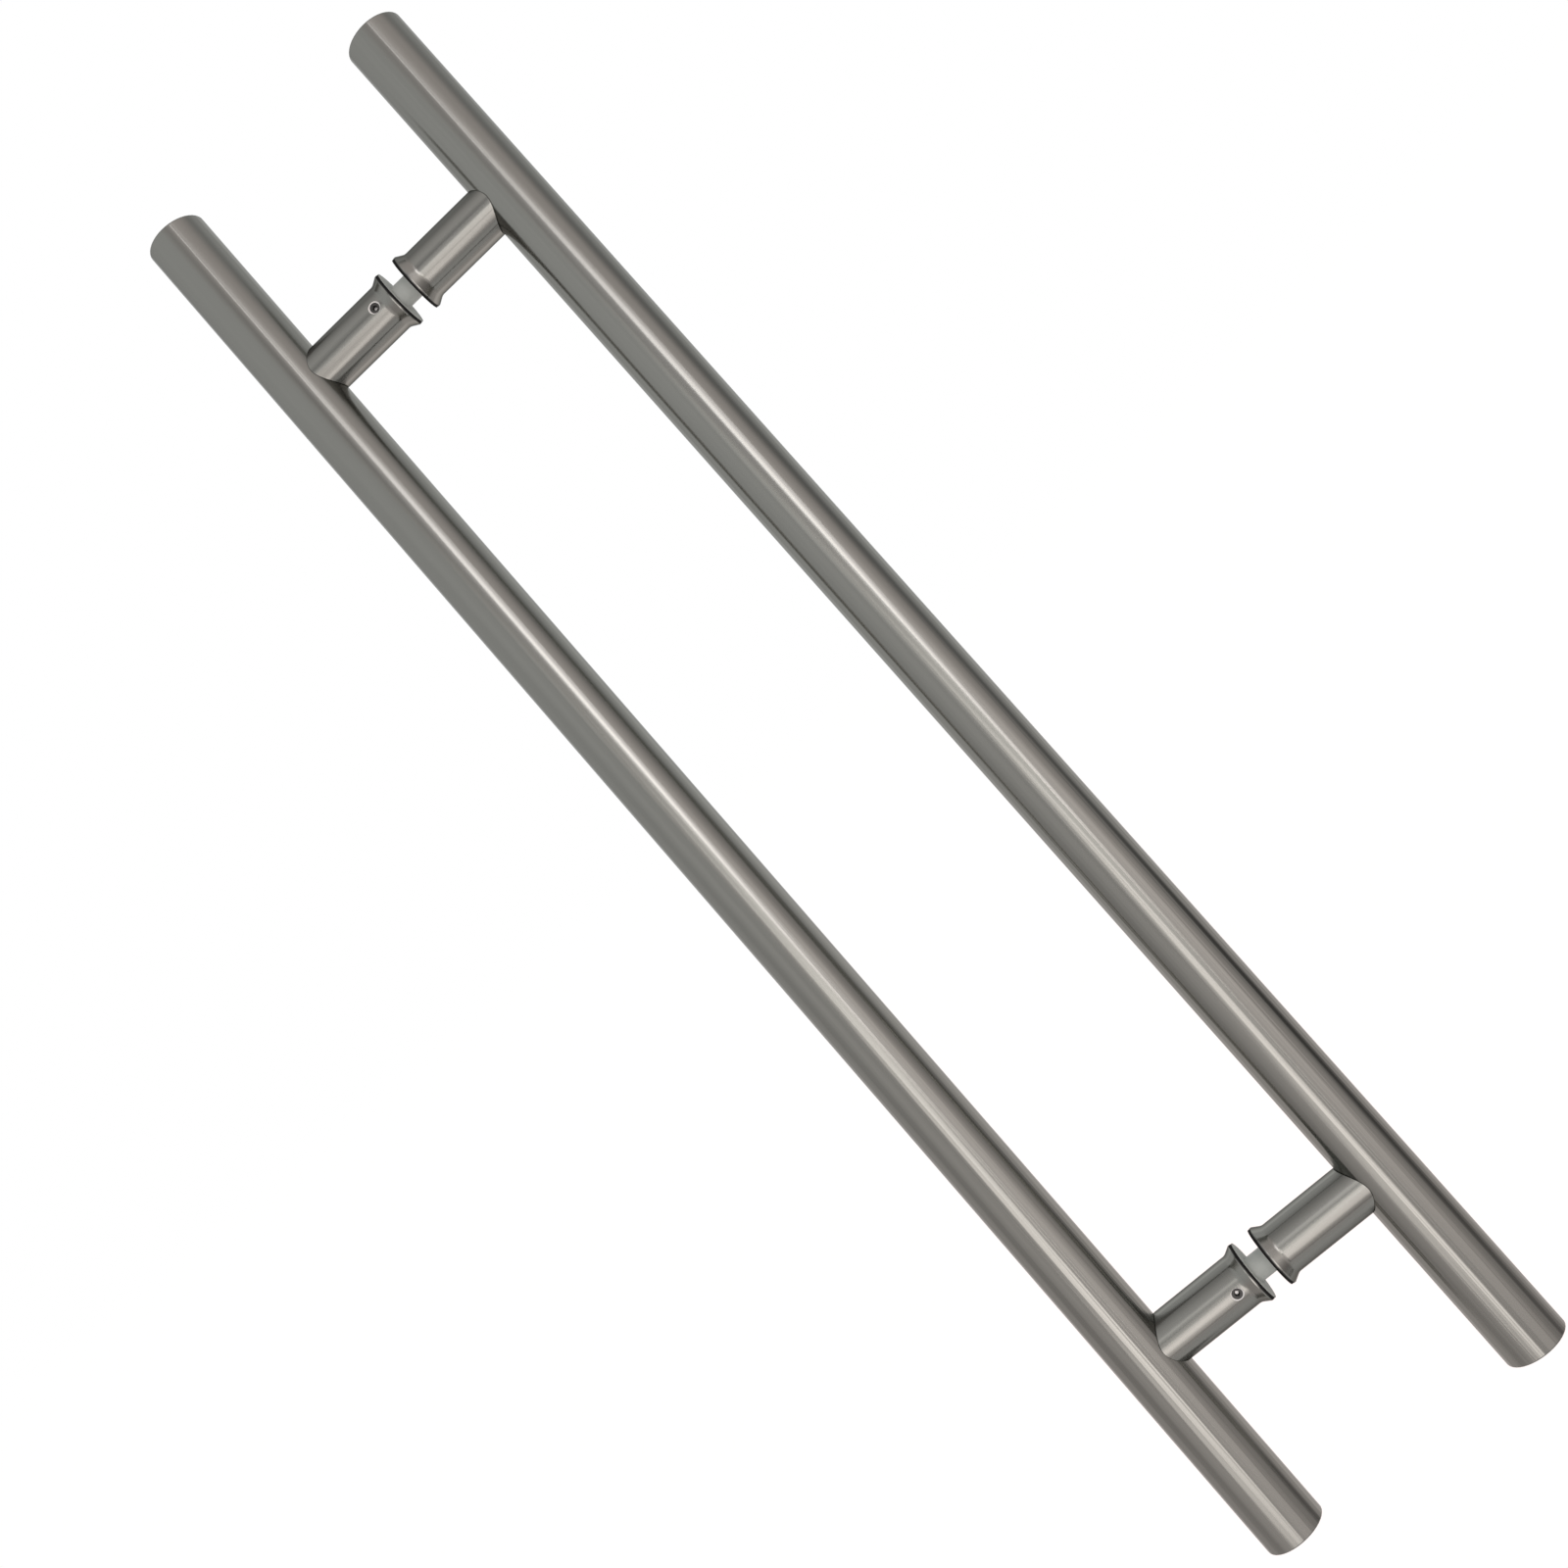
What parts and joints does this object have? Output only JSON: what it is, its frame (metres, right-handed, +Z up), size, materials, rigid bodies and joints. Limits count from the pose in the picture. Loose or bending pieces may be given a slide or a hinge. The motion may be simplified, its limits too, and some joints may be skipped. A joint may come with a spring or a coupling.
{
  "type": "t-bar pull handle",
  "caption": "Round T-bar door pull handles in satin stainless steel, joined back to back through a glass door by sleeved studs and held by grub screws.",
  "frame": {"origin": "middle of the door's thickness, halfway between the two fixings", "axes": "+Z up along the grip bars, +Y through the door from the front handle to the rear one, +X across the door"},
  "size_m": [0.0318, 0.1698, 0.8128],
  "materials": {
    "satin_steel": "satin, brushed along the length",
    "plated_steel": "bright zinc plated, turned",
    "black_steel": "black oxide",
    "dark_rubber": "matte",
    "grey_nylon": "matte, light grey"
  },
  "bodies": {
    "root": {"front_grip_bar": "satin_steel", "rear_grip_bar": "satin_steel", "front_upper_end_cap": "satin_steel", "front_lower_end_cap": "satin_steel", "rear_upper_end_cap": "satin_steel", "rear_lower_end_cap": "satin_steel", "front_upper_post": "satin_steel", "front_lower_post": "satin_steel", "rear_upper_post": "satin_steel", "rear_lower_post": "satin_steel", "front_upper_threaded_bush": "plated_steel", "front_lower_threaded_bush": "plated_steel", "rear_upper_grooved_spigot": "plated_steel", "rear_lower_grooved_spigot": "plated_steel", "upper_connecting_stud": "plated_steel", "lower_connecting_stud": "plated_steel", "bar_nuts": "plated_steel", "grub_screws": "black_steel", "post_screws": "black_steel", "front_upper_foot_washer": "dark_rubber", "front_lower_foot_washer": "dark_rubber", "rear_upper_foot_washer": "dark_rubber", "rear_lower_foot_washer": "dark_rubber", "upper_door_sleeve": "grey_nylon", "lower_door_sleeve": "grey_nylon"}
  },
  "joints": []
}
